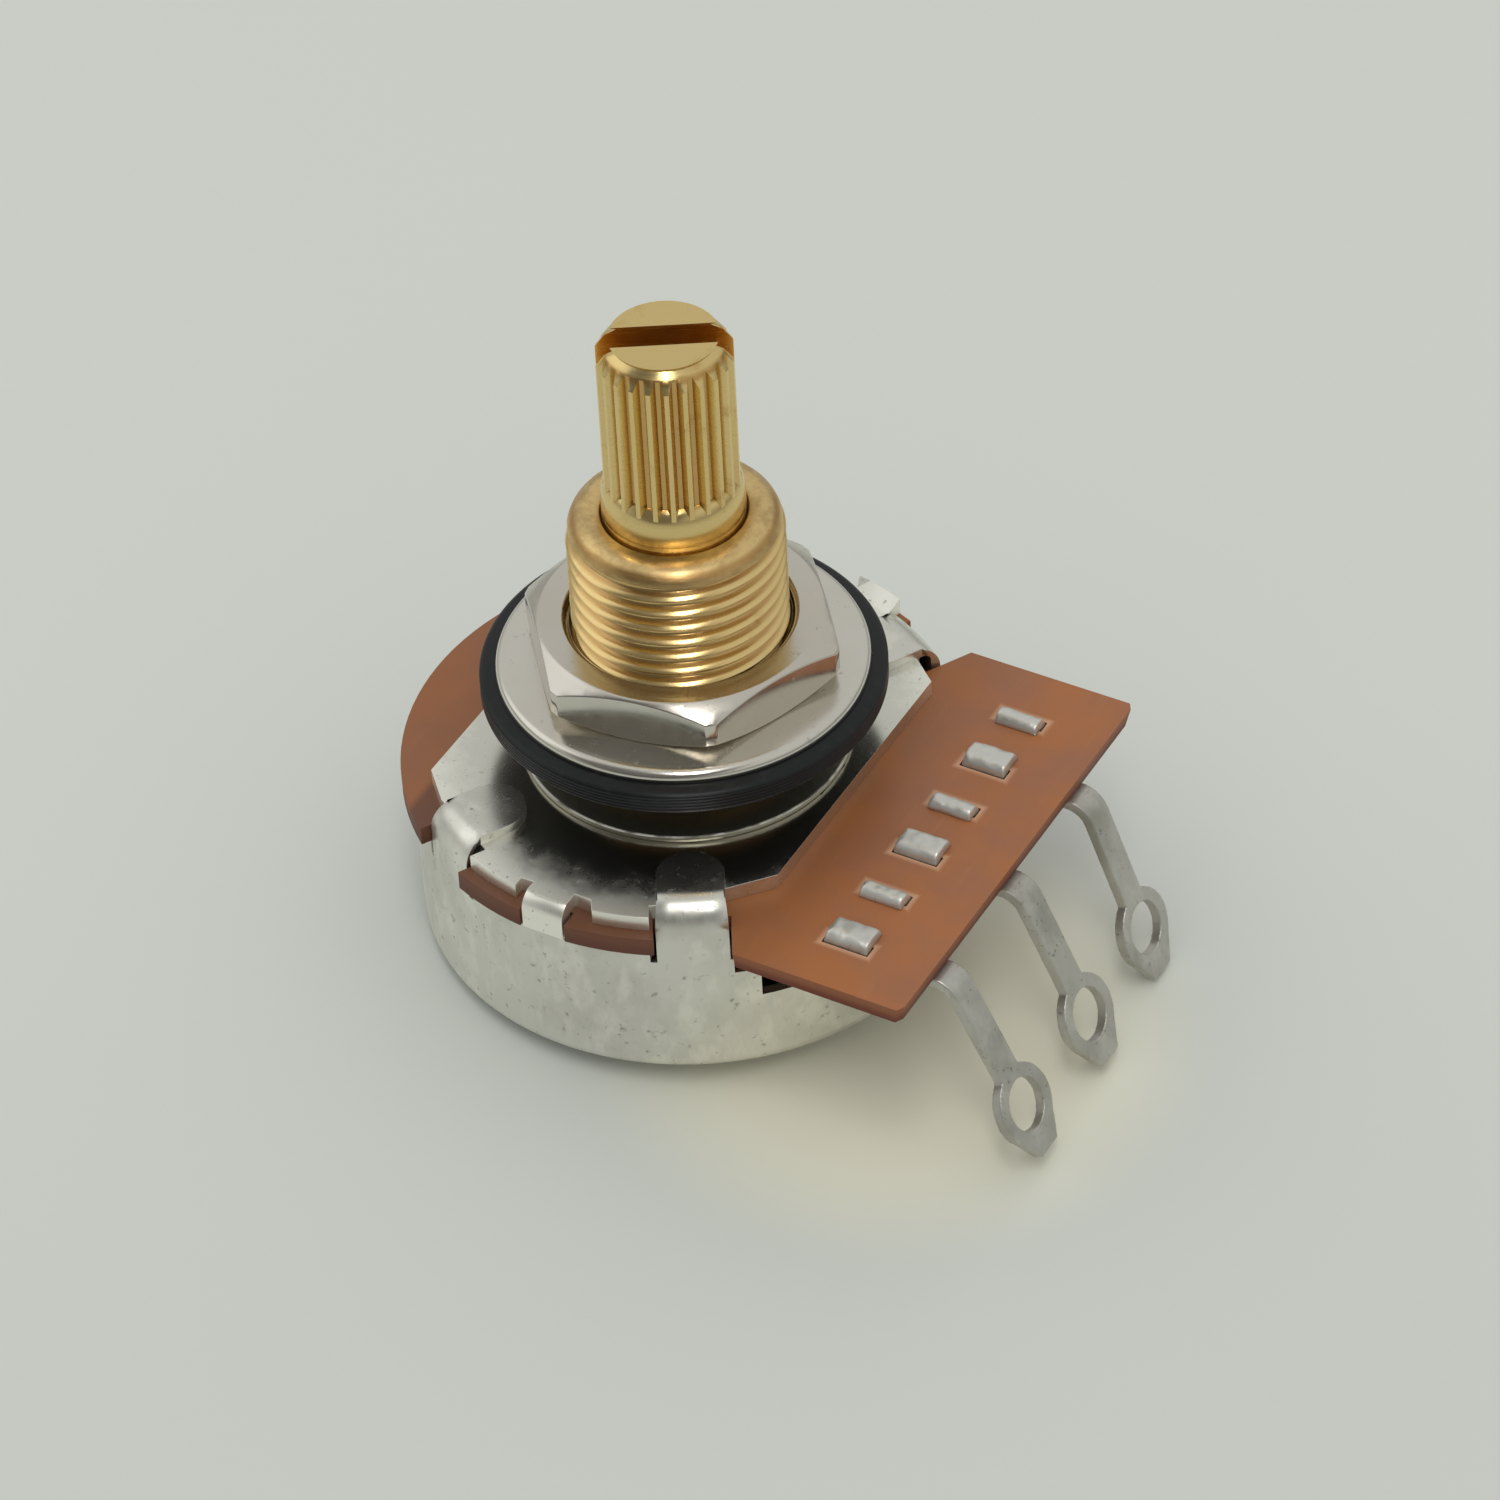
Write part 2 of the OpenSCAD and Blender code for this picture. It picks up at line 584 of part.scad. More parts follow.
// hexagon nut, chamfered on both faces, bore countersunk on the outer face
module hex_nut() color([0.78, 0.77, 0.75]) {
    r = nut_af / 2;
    translate([0, 0, nut_z]) intersection() {
        difference() {
            rotate([0, 0, 9.5]) cylinder(r = r / cos(30), h = nut_t, $fn = 6);
            translate([0, 0, -1]) cylinder(r = washer_r, h = nut_t + 2);
            translate([0, 0, nut_t - 0.3]) cylinder(r1 = washer_r, r2 = washer_r + 0.31, h = 0.31);
        }
        rotate_extrude() polygon([[0, 0], [r - 0.1, 0], [r + 0.85, 0.55], [r + 0.85, nut_t - 0.6],
            [r - 0.15, nut_t], [0, nut_t]]);
    }
}

case();
front_plate();
bushing();
shaft();
thrust_washer();
wave_washer();
retaining_ring();
stop_arm();
rotor();
wiper();
wiper_rivet_1();
wiper_rivet_2();
element_board();
resistive_track();
collector_ring();
end_pad_1();
end_pad_2();
terminal_1();
terminal_2();
terminal_3();
lock_washer();
rubber_washer();
dress_washer();
hex_nut();
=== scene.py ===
"""Rotary potentiometer: pressed can, board with solder terminals, threaded brass bushing,
split splined shaft, nut and washers. Millimetres are turned into metres by MM."""

import math

import bpy
from mathutils import Matrix, Vector


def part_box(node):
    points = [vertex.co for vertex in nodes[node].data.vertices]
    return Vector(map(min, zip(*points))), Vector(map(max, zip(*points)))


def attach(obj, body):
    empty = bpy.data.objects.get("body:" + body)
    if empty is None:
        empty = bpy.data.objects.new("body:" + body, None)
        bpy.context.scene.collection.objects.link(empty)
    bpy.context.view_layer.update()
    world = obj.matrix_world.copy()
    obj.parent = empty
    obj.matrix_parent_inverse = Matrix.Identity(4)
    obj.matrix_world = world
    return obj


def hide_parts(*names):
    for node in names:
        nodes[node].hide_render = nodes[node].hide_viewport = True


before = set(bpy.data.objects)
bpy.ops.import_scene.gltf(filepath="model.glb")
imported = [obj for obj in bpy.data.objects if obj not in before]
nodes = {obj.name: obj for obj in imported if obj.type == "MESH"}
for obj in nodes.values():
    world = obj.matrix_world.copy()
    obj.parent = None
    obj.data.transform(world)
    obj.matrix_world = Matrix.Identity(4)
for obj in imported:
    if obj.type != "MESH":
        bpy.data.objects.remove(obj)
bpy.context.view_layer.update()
MM = 0.001
bpy.ops.object.select_all(action="DESELECT")


# Camera: a long lens, looking down at the part from the terminal side, a little turned
# about its own axis. The distances are from the centre of the can's back.
azimuth, elevation, roll = (math.radians(a) for a in (30.939, 41.142, -3.097))
distance, shift_right, shift_up = 298.34, 2.369, 5.968
level = Vector((math.cos(azimuth), math.sin(azimuth), 0))
back = Vector((math.sin(azimuth) * math.cos(elevation), -math.cos(azimuth) * math.cos(elevation),
               math.sin(elevation)))
upright = back.cross(level)
right = math.cos(roll) * level + math.sin(roll) * upright
up = math.cos(roll) * upright - math.sin(roll) * level
bpy.ops.object.camera_add()
camera = bpy.context.object
camera.name = "camera"
camera.location = MM * (distance * back + shift_right * right + shift_up * up)
camera.rotation_euler = Matrix((right, up, back)).transposed().to_euler()
camera.data.lens, camera.data.sensor_width = 159.21, 36
camera.data.clip_start, camera.data.clip_end = 0.01, 20
bpy.context.scene.camera = camera
bpy.context.scene.view_settings.view_transform = "Standard"
bpy.ops.object.select_all(action="DESELECT")


# The table: one pale sheet under the part, painted darker towards the camera as painted shade,
# and warmer beside the part as painted light bounced off the brass and the board. The part lies
# on the rim of its can and on the tips of its terminals, so the sheet is tilted to the part's
# own frame.
class Wire:
    """An output socket of a node tree, which adds Math nodes when it is reckoned with."""

    def __init__(self, tree, socket):
        self.tree, self.socket = tree, socket

    def calc(self, operation, *values):
        node = self.tree.nodes.new("ShaderNodeMath")
        node.operation = operation
        for plug, value in zip(node.inputs, values):
            plug_in(self.tree, plug, value)
        return Wire(self.tree, node.outputs[0])

    def __add__(self, other):
        return self.calc("ADD", self, other)

    def __sub__(self, other):
        return self.calc("SUBTRACT", self, other)

    def __rsub__(self, other):
        return self.calc("SUBTRACT", other, self)

    def __mul__(self, other):
        return self.calc("MULTIPLY", self, other)

    def __pow__(self, other):
        return self.calc("POWER", self, other)

    def __abs__(self):
        return self.calc("ABSOLUTE", self)

    __radd__, __rmul__ = __add__, __mul__

    def most(self, other):
        return self.calc("MAXIMUM", self, other)

    def ramp(self, low, high):
        """0 below low, 1 above high, smooth between them; low may be the larger one."""
        return make(self.tree, "ShaderNodeMapRange", {"interpolation_type": "SMOOTHSTEP"},
                    {"Value": self, "From Min": low, "From Max": high})


def plug_in(tree, plug, value):
    if isinstance(value, Wire):
        tree.links.new(value.socket, plug)
    elif isinstance(value, (tuple, list)) and plug.type == "RGBA" and len(value) == 3:
        plug.default_value = (*value, 1)
    else:
        plug.default_value = value


def make(tree, kind, settings=None, plugs=None, out=0):
    """Adds a node, sets it up, plugs its sockets and gives one of its outputs."""
    node = tree.nodes.new(kind)
    for key, value in (settings or {}).items():
        setattr(node, key, value)
    for key, value in (plugs or {}).items():
        plug_in(tree, node.inputs[key], value)
    return Wire(tree, node.outputs[out])


def blend(tree, share, first, second):
    """Mixes two colours."""
    return make(tree, "ShaderNodeMix", {"data_type": "RGBA"}, {0: share, 6: first, 7: second}, 2)


def speckle(tree, place, size, detail=2.0, rough=0.5):
    """Noise whose grains are about size millimetres."""
    return make(tree, "ShaderNodeTexNoise", {}, {
        "Vector": place, "Scale": 1 / (size * MM), "Detail": detail, "Roughness": rough})


def stretch(tree, place, scale):
    """Object coordinates stretched along each axis, for marks that run one way."""
    return make(tree, "ShaderNodeMapping", {}, {"Vector": place, "Scale": scale})


class Finish:
    """A Principled material with its Object coordinates to hand."""

    def __init__(self, name, colour, roughness, metallic=0.0, **own):
        self.material = bpy.data.materials.new(name)
        self.material.use_nodes = True
        self.tree = self.material.node_tree
        self.shader = self.tree.nodes["Principled BSDF"]
        self.set("Base Color", colour)
        self.set("Roughness", roughness)
        self.set("Metallic", metallic)
        for socket, value in own.items():
            self.set(socket.replace("_", " "), value)
        self.place = make(self.tree, "ShaderNodeTexCoord", out="Object")
        parts = self.tree.nodes.new("ShaderNodeSeparateXYZ")
        self.tree.links.new(self.place.socket, parts.inputs[0])
        self.x, self.y, self.z = (Wire(self.tree, o) for o in parts.outputs)

    def set(self, socket, value):
        plug_in(self.tree, self.shader.inputs[socket], value)

    def plain_colour(self):
        """What feeds the colour so far, for another layer over it."""
        return Wire(self.tree, self.shader.inputs["Base Color"].links[0].from_socket)

    def reach(self):
        """Distance from the shaft's axis."""
        return (self.x ** 2.0 + self.y ** 2.0) ** 0.5

    def level(self):
        """1 on faces that look along the shaft, 0 on upright ones."""
        normal = self.tree.nodes.new("ShaderNodeSeparateXYZ")
        facing = make(self.tree, "ShaderNodeTexCoord", out="Normal")
        self.tree.links.new(facing.socket, normal.inputs[0])
        return abs(Wire(self.tree, normal.outputs[2])).ramp(0.6, 0.9)

    def bump(self, height, depth, strength=1.0):
        """Height from 0 to 1, for a depth in millimetres."""
        self.set("Normal", make(self.tree, "ShaderNodeBump", {}, {
            "Height": height, "Distance": depth * MM, "Strength": strength}))


def toned(colour, share):
    """The same colour, lighter or darker."""
    return tuple(channel * share for channel in colour)


tilt = 0.062
pale = (0.568, 0.590, 0.549)
bpy.ops.mesh.primitive_plane_add(size=1.6, location=(-12.25 * MM, 0, -0.02 * MM),
                                 rotation=(0, math.atan(tilt), 0))
table = bpy.context.object
table.name = "table"
sheet = Finish("table_sheet", pale, 0.42, Specular_IOR_Level=0.25)
mottle = speckle(sheet.tree, sheet.place, 60, 2.0)
tone = blend(sheet.tree, mottle, toned(pale, 0.925), toned(pale, 0.945))
# Painted shade: the sheet is painted darker towards the camera.
painted_shade_towards_camera = (sheet.x * level.y - sheet.y * level.x).ramp(-10 * MM, 45 * MM)
tone = blend(sheet.tree, painted_shade_towards_camera, tone, toned(pale, 0.875))
# Painted light: a warm glow painted on the sheet in the shadow beside the part, for light
# bounced off the brass and the board.
painted_light_x, painted_light_y = 24 * MM, -3 * MM
near = ((sheet.x - painted_light_x) ** 2.0 + (sheet.y - painted_light_y) ** 2.0) ** 0.5
tarnish_and_painted_light = near.ramp(15 * MM, 7 * MM) * 0.85
sheet.set("Base Color", blend(sheet.tree, tarnish_and_painted_light, tone, (0.70, 0.68, 0.54)))
table.data.materials.append(sheet.material)


# Studio light: an even pale room with one soft lamp high above the camera, which draws the
# bright lines on the bends, and a weak wide one from the left. Metal mirrors a greyer room
# with somebody dark standing at the camera.
world = bpy.data.worlds.new("room")
bpy.context.scene.world = world
world.use_nodes = True
room = world.node_tree
direction = make(room, "ShaderNodeTexCoord", out="Generated")
heading = room.nodes.new("ShaderNodeSeparateXYZ")
room.links.new(direction.socket, heading.inputs[0])
height = Wire(room, heading.outputs[2])
person = Vector((0.065, -0.740, 0.669))
toward = sum(Wire(room, out) * part for out, part in zip(heading.outputs, person))
ray = room.nodes.new("ShaderNodeLightPath")
seen = Wire(room, ray.outputs["Is Camera Ray"])
mirrored = Wire(room, ray.outputs["Is Glossy Ray"])
tent = blend(room, height.ramp(0.0, 0.45), (0.30, 0.30, 0.28), (0.60, 0.60, 0.575))
tent = blend(room, toward.ramp(0.62, 0.86) * 0.8, tent, (0.04, 0.036, 0.03))
lit = blend(room, mirrored, (0.89, 0.895, 0.88), tent)
shade = room.nodes["Background"]
plug_in(room, shade.inputs["Color"], blend(room, seen, lit, pale))
shade.inputs["Strength"].default_value = 1.0
for name, place, size, power, colour in (
        ("high_lamp", (0.14, -0.22, 0.53), (0.11, 0.32), 0.78, (1.0, 0.99, 0.97)),
        ("left_lamp", (-0.45, -0.10, 0.40), (0.45, 0.45), 0.25, (0.98, 0.99, 1.0))):
    bpy.ops.object.light_add(type="AREA", location=place)
    lamp = bpy.context.object
    lamp.name = name
    lamp.rotation_mode = "QUATERNION"
    lamp.rotation_quaternion = (Vector(place) - Vector((0, 0, 0.01))).to_track_quat("Z", "Y")
    lamp.data.shape = "RECTANGLE"
    lamp.data.size, lamp.data.size_y = size
    lamp.data.energy, lamp.data.color = power, colour


# The can: drawn from tin-plated sheet, dull, with fine dark specks, drawing marks down its
# wall and worn bright edges. Its four tabs are folded over the plate.
def plated(name, colour, dark, roughness, grain, marks, metallic=1.0, tarnish_and_painted_light=0.35):
    """Dull plating: clouds of tarnish, dark specks and fine marks drawn along Z."""
    made = Finish(name, colour, roughness, metallic)
    tree, place = made.tree, made.place
    cloud = speckle(tree, place, 5.0, 4.0, 0.6).ramp(0.42, 0.68)
    speck = speckle(tree, place, grain, 3.0, 0.65).ramp(0.60, 0.74)
    rubbed = speckle(tree, stretch(tree, place, (1, 1, 0.5)), 1.3, 5.0, 0.6).ramp(0.48, 0.66)
    wall = 1 - made.level()
    drawn = speckle(tree, stretch(tree, place, (1, 1, 0.1)), 0.4, 3.0).ramp(0.35, 0.75) * wall
    tone = blend(tree, cloud * tarnish_and_painted_light, colour, dark)
    tone = blend(tree, rubbed * 0.5, tone, toned(colour, 1.22))
    tone = blend(tree, speck * 0.6, tone, toned(dark, 0.5))
    made.set("Base Color", tone)
    made.set("Roughness", roughness + wall * 0.05 + cloud * 0.1 + speck * 0.2 + drawn * marks)
    made.bump(drawn * 0.6 + speck * 0.4, 0.008, 0.3)
    return made


def broken_edges(node, name, body, width, finish, smooth=35, shape=None):
    """Stands a copy of a CAD node in its place, with its edges broken by a small bevel.
    A shape is a function that moves the corners, in mm, before that; smooth is the angle
    from which an edge counts as sharp."""
    bpy.ops.object.select_all(action="DESELECT")
    piece = bpy.data.objects.new(name, nodes[node].data.copy())
    bpy.context.collection.objects.link(piece)
    piece.data.materials.clear()
    piece.data.materials.append(finish.material)
    piece.select_set(True)
    bpy.context.view_layer.objects.active = piece
    bpy.ops.object.mode_set(mode="EDIT")
    bpy.ops.mesh.select_all(action="SELECT")
    bpy.ops.mesh.remove_doubles(threshold=0.0008 * MM)
    bpy.ops.mesh.dissolve_limited(angle_limit=math.radians(0.5))
    bpy.ops.object.mode_set(mode="OBJECT")
    for vertex in piece.data.vertices if shape else ():
        vertex.co = shape(vertex.co / MM) * MM
    if width:
        bevel = piece.modifiers.new("edges", "BEVEL")
        bevel.width, bevel.segments = width * MM, 2
        bevel.limit_method, bevel.angle_limit = "ANGLE", math.radians(smooth)
        bevel.use_clamp_overlap = True
        bpy.ops.object.modifier_apply(modifier="edges")
    bpy.ops.object.shade_smooth_by_angle(angle=math.radians(smooth))
    even = piece.modifiers.new("normals", "WEIGHTED_NORMAL")
    even.keep_sharp = True
    bpy.ops.object.modifier_apply(modifier="normals")
    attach(piece, body)
    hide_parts(node)
    return piece


tin = plated("tinned_can", (0.76, 0.75, 0.69), (0.52, 0.51, 0.45), roughness=0.24, grain=0.45,
             marks=0.12, tarnish_and_painted_light=0.4)


def looser_fold(at):
    """Rounds the outside of the tabs' folds more than their inside."""
    centre, outside, looser = Vector((11.45, 8.7)), 0.7, 0.5
    reach = math.hypot(at.x, at.y)
    spoke = Vector((reach, at.z)) - centre
    if min(spoke) < -0.01 or spoke.length < outside:
        return at
    bent = centre - Vector((looser, looser)) + spoke * (1 + looser / spoke.length)
    return Vector((at.x * bent.x / reach, at.y * bent.x / reach, bent.y))


broken_edges("case", "can", "housing", 0.05, tin, shape=looser_fold)


# The element board: phenolic paper, warm brown with a soft gloss on its face, dark red on its
# cut edges, and pale where the slots for the terminals were punched. Painted shade darkens its
# face towards the plate, and dirt with painted shade darkens the strip beside the can's wall;
# the tops of its cut edges get a painted highlight.
laminate = Finish("phenolic", (0.30, 0.115, 0.05), 0.38, Specular_IOR_Level=0.4)
tree = laminate.tree
flat = laminate.level()
pitch, row_middle = 6.35 * MM, -0.2 * MM
slot_x, slot_off, half_long, half_wide = 12.45 * MM, 1.775 * MM, 1.1 * MM, 0.325 * MM
row = laminate.y - row_middle + 1.5 * pitch
along = abs(make(tree, "ShaderNodeMath", {"operation": "FLOORED_MODULO"}, {0: row, 1: pitch})
            - pitch / 2)
gap_y = abs(along - slot_off) - half_wide
gap_x = abs(laminate.x - slot_x) - half_long
last = abs(laminate.y - row_middle) - 1.5 * pitch
rim = gap_x.most(gap_y).most(last).ramp(0.34 * MM, 0.02 * MM)
grain = speckle(tree, laminate.place, 4.0, 3.0, 0.5).ramp(0.3, 0.7)
fibre = speckle(tree, stretch(tree, laminate.place, (1, 0.12, 1)), 0.5, 2.0).ramp(0.55, 0.75)
face = blend(tree, grain, (0.262, 0.104, 0.050), (0.318, 0.112, 0.034))
face = blend(tree, fibre * 0.15, face, (0.36, 0.155, 0.065))
# Painted shade: the face is darkened towards the front plate.
face = blend(tree, laminate.x.ramp(11.5 * MM, 8.3 * MM) * 0.35, face, (0.16, 0.058, 0.014))
face = blend(tree, rim * 0.8, face, (0.52, 0.30, 0.18))
# Painted highlight: the cut edges are painted lighter towards the board's face.
edge = blend(tree, laminate.z.ramp(7.5 * MM, 8.1 * MM), (0.13, 0.022, 0.006),
             (0.23, 0.075, 0.028))
tone = blend(tree, flat, edge, face)
# Dirt and painted shade: the strip of board seen between the plate's edge and the can's wall is
# darkened.
dirt_and_painted_shade = laminate.reach().ramp(11.2 * MM, 11.6 * MM)
dirt_and_painted_shade = dirt_and_painted_shade * (laminate.x + laminate.y).ramp(-3 * MM, -6 * MM)
dirt_and_painted_shade = dirt_and_painted_shade * abs(laminate.x + 1 * MM).ramp(8.2 * MM, 7.6 * MM)
laminate.set("Base Color", blend(tree, dirt_and_painted_shade * 0.75, tone, (0.085, 0.034, 0.020)))
laminate.set("Roughness", 0.55 - flat * 0.2 + grain * 0.06)
laminate.bump(fibre * 0.6 + grain * 0.4, 0.012, 0.3)


def punched_tail(at):
    """Makes the tail's corner cuts small and draws its edge in towards the underside."""
    tail, tail_end, half_tail, underside, drawn_in = 8.2, 16.2, 10.6, 7.4, 0.2
    side, x, y = math.copysign(1, at.y), at.x, at.y
    if x > 15.8 and abs(y) > 11:
        x += 0.35
    elif x > 16.4 and abs(y) > 10:
        y += 0.65 * side
    if at.z < underside:
        if x > tail and abs(y) > half_tail:
            y -= drawn_in * side
        if x > tail_end:
            x -= drawn_in
    return Vector((x, y, at.z))


broken_edges("element_board", "board", "housing", 0.04, laminate,
             shape=punched_tail)


# The front plate: stamped from bright plated sheet, mirror-like round the bushing and
# dulled with specks towards its edges, where it was handled and barrelled.
bright = Finish("bright_plate", (0.70, 0.69, 0.65), 0.12, 1.0)
tree = bright.tree
wander = speckle(tree, bright.place, 1.2, 4.0, 0.7) * 3 * MM
worn = (bright.reach() + wander).ramp(10.6 * MM, 13.2 * MM)
spots = speckle(tree, bright.place, 0.35, 3.0, 0.7).ramp(0.60, 0.72)
tone = blend(tree, worn, (0.74, 0.73, 0.67), (0.97, 0.96, 0.88))
bright.set("Base Color", blend(tree, spots * (0.15 + worn * 0.5), tone, (0.25, 0.24, 0.19)))
bright.set("Roughness", 0.19 + worn * 0.22 + spots * (0.05 + worn * 0.2))
bright.bump(spots + speckle(tree, bright.place, 2.0, 2.0), 0.008, 0.2)
plate = broken_edges("front_plate", "plate", "housing", 0.09, bright)

# Its far corner is bent up a little, from a crease across the plate.
crease, outward = Vector((1.45, 12.2, 9)) * MM, Vector((0.436, 0.900, 0))
bent_from, bent_to, lugs_top, bent_by = 1.0 * MM, 5.2 * MM, 8 * MM, (0, 0.25 * MM, 0.5 * MM)
cut = 0.0001 * MM
bpy.ops.object.mode_set(mode="EDIT")
bpy.ops.mesh.select_all(action="SELECT")
bpy.ops.mesh.bisect(plane_co=crease, plane_no=outward, threshold=cut)
bpy.ops.mesh.select_all(action="DESELECT")
bpy.ops.object.mode_set(mode="OBJECT")
for vertex in plate.data.vertices:
    beyond = (vertex.co - crease).dot(outward) > 0.1 * MM and vertex.co.z > lugs_top
    vertex.select = beyond and bent_from < vertex.co.x < bent_to
bpy.ops.object.mode_set(mode="EDIT")
bpy.ops.transform.translate(value=bent_by)
bpy.ops.object.mode_set(mode="OBJECT")


# The terminals: stamped from dull tinned brass, pushed up through the board's slots and
# folded down on it, with the legs bent over the board's edge and eyes for the wires.
dull = plated("tinned_terminal", (0.52, 0.51, 0.47), (0.27, 0.25, 0.20), roughness=0.36,
              grain=0.30, marks=0.10, metallic=0.85, tarnish_and_painted_light=0.5)
# Painted light: the clinched tops are painted lighter than the legs, as if lit from above.
painted_light_on_top = dull.z.ramp(8.3 * MM, 8.6 * MM) * 0.6
dull.set("Base Color", blend(dull.tree, painted_light_on_top, dull.plain_colour(), (0.80, 0.80, 0.76)))
dents = bpy.data.textures.new("clinching_dents", "CLOUDS")
dents.noise_scale, dents.noise_depth = 0.7 * MM, 1
pad_foot, leg_start = 8.36, 14.5
for number in (1, 2, 3):
    lug = broken_edges(f"terminal_{number}", f"solder_terminal_{number}", "housing", 0, dull)
    lug.data.transform(Matrix.Scale(1 / MM, 4))
    soft = lug.modifiers.new("soft", "REMESH")
    soft.mode, soft.voxel_size, soft.use_smooth_shade = "VOXEL", 0.06, True
    bpy.ops.object.modifier_apply(modifier="soft")
    pads = lug.vertex_groups.new(name="pads")
    clinched = [v.index for v in lug.data.vertices if v.co.z > pad_foot and v.co.x < leg_start]
    pads.add(clinched, 1.0, "REPLACE")
    for name, rounds, group in (("worn", 40, "pads"), ("even", 3, "")):
        rubbing = lug.modifiers.new(name, "SMOOTH")
        rubbing.factor, rubbing.iterations, rubbing.vertex_group = 0.5, rounds, group
        bpy.ops.object.modifier_apply(modifier=name)
    lug.data.transform(Matrix.Scale(MM, 4))
    press = lug.modifiers.new("press", "DISPLACE")
    press.texture, press.vertex_group = dents, "pads"
    press.strength, press.mid_level = 0.10 * MM, 0.6
    bpy.ops.object.modifier_apply(modifier="press")


# The bushing: turned brass with a thread of 32 turns per inch. The thread is one groove
# profile screwed round the axis, cut off at both ends and trimmed by the turned blank.
def drawn_line(name, corners):
    """Draws a line through (radius, height) corners in mm, and leaves it in edit mode."""
    bpy.ops.object.select_all(action="DESELECT")
    bpy.ops.mesh.primitive_plane_add(size=MM)
    piece = bpy.context.object
    piece.name = name
    bpy.ops.object.mode_set(mode="EDIT")
    bpy.ops.mesh.select_mode(type="VERT")
    bpy.ops.mesh.select_all(action="SELECT")
    bpy.ops.mesh.merge(type="CENTER")
    corners = [Vector((r, 0, z)) * MM for r, z in corners]
    bpy.ops.transform.translate(value=corners[0])
    for at, corner in zip(corners, corners[1:]):
        bpy.ops.mesh.extrude_region_move(TRANSFORM_OT_translate={"value": corner - at})
    return piece


def turned(name, profile):
    """Spins a closed outline of (radius, height) corners in mm round the shaft's axis."""
    piece = drawn_line(name, (*profile, profile[0]))
    bpy.ops.mesh.select_all(action="SELECT")
    bpy.ops.mesh.remove_doubles(threshold=weld)
    bpy.ops.mesh.select_all(action="SELECT")
    bpy.ops.mesh.spin(steps=144, angle=2 * math.pi, center=(0, 0, 0), axis=(0, 0, 1),
                      use_auto_merge=True)
    bpy.ops.mesh.select_all(action="SELECT")
    bpy.ops.mesh.remove_doubles(threshold=weld)
    bpy.ops.mesh.normals_make_consistent(inside=False)
    bpy.ops.object.mode_set(mode="OBJECT")
    return piece


def placed(piece, body, finish, slot, *stands_for, smooth=35):
    """Gives a finished piece its material and its body, and hides the CAD nodes that it stands
    for.
    """
    piece.data.materials.clear()
    piece.data.materials.append(finish.material)
    bpy.ops.object.select_all(action="DESELECT")
    piece.select_set(True)
    bpy.context.view_layer.objects.active = piece
    bpy.ops.object.shade_smooth_by_angle(angle=math.radians(smooth))
    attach(piece, body)
    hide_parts(*stands_for)


def brass(name, colour, dark, roughness, crest, root, deep, ringed, rim_z):
    """Bright brass with fine turning marks and tarnish, darker brown towards the roots of its
    grooves, and painted shade darkening it below 13.6 mm.
    """
    made = Finish(name, colour, roughness, 1.0)
    tree, reach = made.tree, made.reach()
    groove = reach.ramp(crest * MM, root * MM) * reach.ramp((root - 0.2) * MM, root * MM)
    # Painted shade: the bushing is darkened below 13.6 mm, where the rubber washer shades its
    # thread.
    shade = made.z.ramp(13.6 * MM, 12 * MM)
    handled = made.z.ramp(rim_z * MM, (rim_z + 0.3) * MM)
    lines = speckle(tree, stretch(tree, made.place, (0.05, 0.05, 1)), 0.12, 2.0).ramp(0.3, 0.7)
    tarnish = speckle(tree, made.place, 1.3, 4.0, 0.65).ramp(0.56, 0.78)
    brown = speckle(tree, stretch(tree, made.place, (1, 1, 2.5)), 0.9, 4.0, 0.7).ramp(0.35, 0.65)
    tone = blend(tree, tarnish * 0.4, colour, dark)
    tone = blend(tree, handled * (0.12 + brown * 0.5), tone, (0.46, 0.29, 0.14))
    tone = blend(tree, groove * deep, tone, dark)
    made.set("Base Color", blend(tree, shade * 0.8, tone, (0.08, 0.045, 0.02)))
    made.set("Roughness", roughness + lines * 0.08 + tarnish * 0.15 + handled * 0.14)
    made.bump(lines + handled * brown * 2, 0.006, ringed)
    return made


neck_foot, thread_top = (corner.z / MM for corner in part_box("bushing"))
plate_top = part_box("front_plate")[1].z / MM
thread_pitch, thread_turns, crest, root, bore = 0.79375, 19, 4.7625, 4.32, 3.14
weld = 0.0005 * MM
bushing_brass = brass("bushing_brass", (0.86, 0.64, 0.29), (0.44, 0.23, 0.07), roughness=0.18,
                      crest=4.70, root=4.42, deep=0.65, ringed=0.3, rim_z=20.8)
tooth = ((0.0, 0.0), (0.1, 0.01), (0.2, 0.07), (0.3, 0.23), (0.4, 0.38), (0.5, 0.4425),
         (0.6, 0.38), (0.7, 0.23), (0.8, 0.07), (0.9, 0.01), (1.0, 0.0))
shoulder, start = thread_top - 0.9, plate_top - 2 * thread_pitch
thread = drawn_line("bushing_thread", [
    (root + depth, start + part * thread_pitch) for part, depth in tooth])
bpy.ops.object.mode_set(mode="OBJECT")
screw = thread.modifiers.new("screw", "SCREW")
screw.angle, screw.screw_offset = 2 * math.pi, thread_pitch * MM
screw.iterations = thread_turns
screw.steps = screw.render_steps = 96
screw.use_merge_vertices, screw.merge_threshold = True, weld
bpy.ops.object.modifier_apply(modifier="screw")
bpy.ops.object.mode_set(mode="EDIT")
bpy.ops.mesh.select_all(action="SELECT")
bpy.ops.mesh.remove_doubles(threshold=weld)
for cut_z, side in ((plate_top, -1), (shoulder, 1)):
    bpy.ops.mesh.select_all(action="SELECT")
    bpy.ops.mesh.bisect(plane_co=(0, 0, cut_z * MM), plane_no=(0, 0, side), use_fill=True,
                        clear_outer=True, threshold=cut)
bpy.ops.mesh.select_all(action="SELECT")
bpy.ops.mesh.normals_make_consistent(inside=False)
bpy.ops.object.mode_set(mode="OBJECT")
